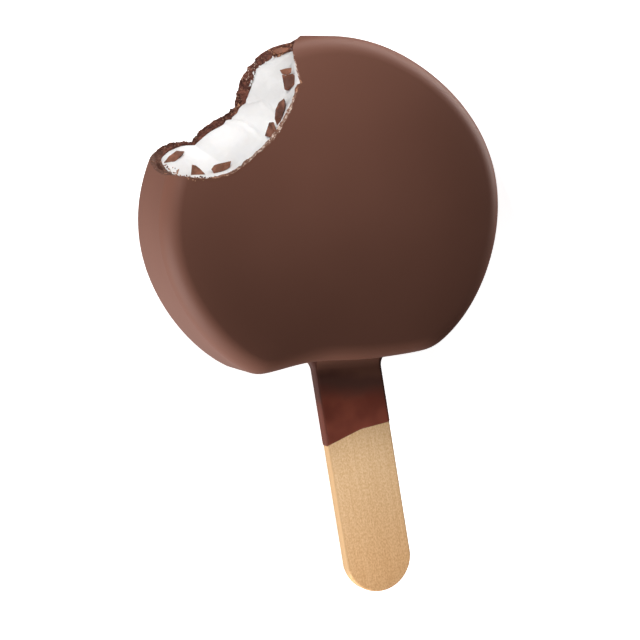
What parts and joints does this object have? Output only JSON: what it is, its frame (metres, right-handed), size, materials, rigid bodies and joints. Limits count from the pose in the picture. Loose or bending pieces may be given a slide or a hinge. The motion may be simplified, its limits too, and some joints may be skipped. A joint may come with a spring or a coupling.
{
  "type": "ice cream bar",
  "caption": "Round chocolate-coated ice cream bar lying on its back, bitten at one corner to show white ice cream with chocolate chunks, on a flat wooden stick.",
  "frame": {"origin": "centre of the disc on its flat back face, which the bar lies on", "axes": "+Z out of the front face, which shows the bite; -Y along the stick to its free end; +X to the right seen from the front"},
  "size_m": [0.0766, 0.1204, 0.021],
  "materials": {
    "milk_chocolate": "smooth dipped milk chocolate with a soft satin sheen; stands in for chocolate",
    "chunk_chocolate": "broken milk chocolate, matt on its broken faces; stands in for chocolate",
    "vanilla_ice_cream": "white frozen cream, fine-grained and slightly moist; stands in for ice cream",
    "birch_wood": "unfinished pale birch with fine straight grain along the stick"
  },
  "bodies": {
    "root": {"coating": "milk_chocolate", "ice_cream": "vanilla_ice_cream", "stick": "birch_wood", "chunk_right": "chunk_chocolate", "chunk_tall": "chunk_chocolate", "chunk_corner": "chunk_chocolate", "chunk_front": "chunk_chocolate", "chunk_left": "chunk_chocolate", "chunk_back": "chunk_chocolate", "chunk_top": "chunk_chocolate"}
  },
  "joints": []
}
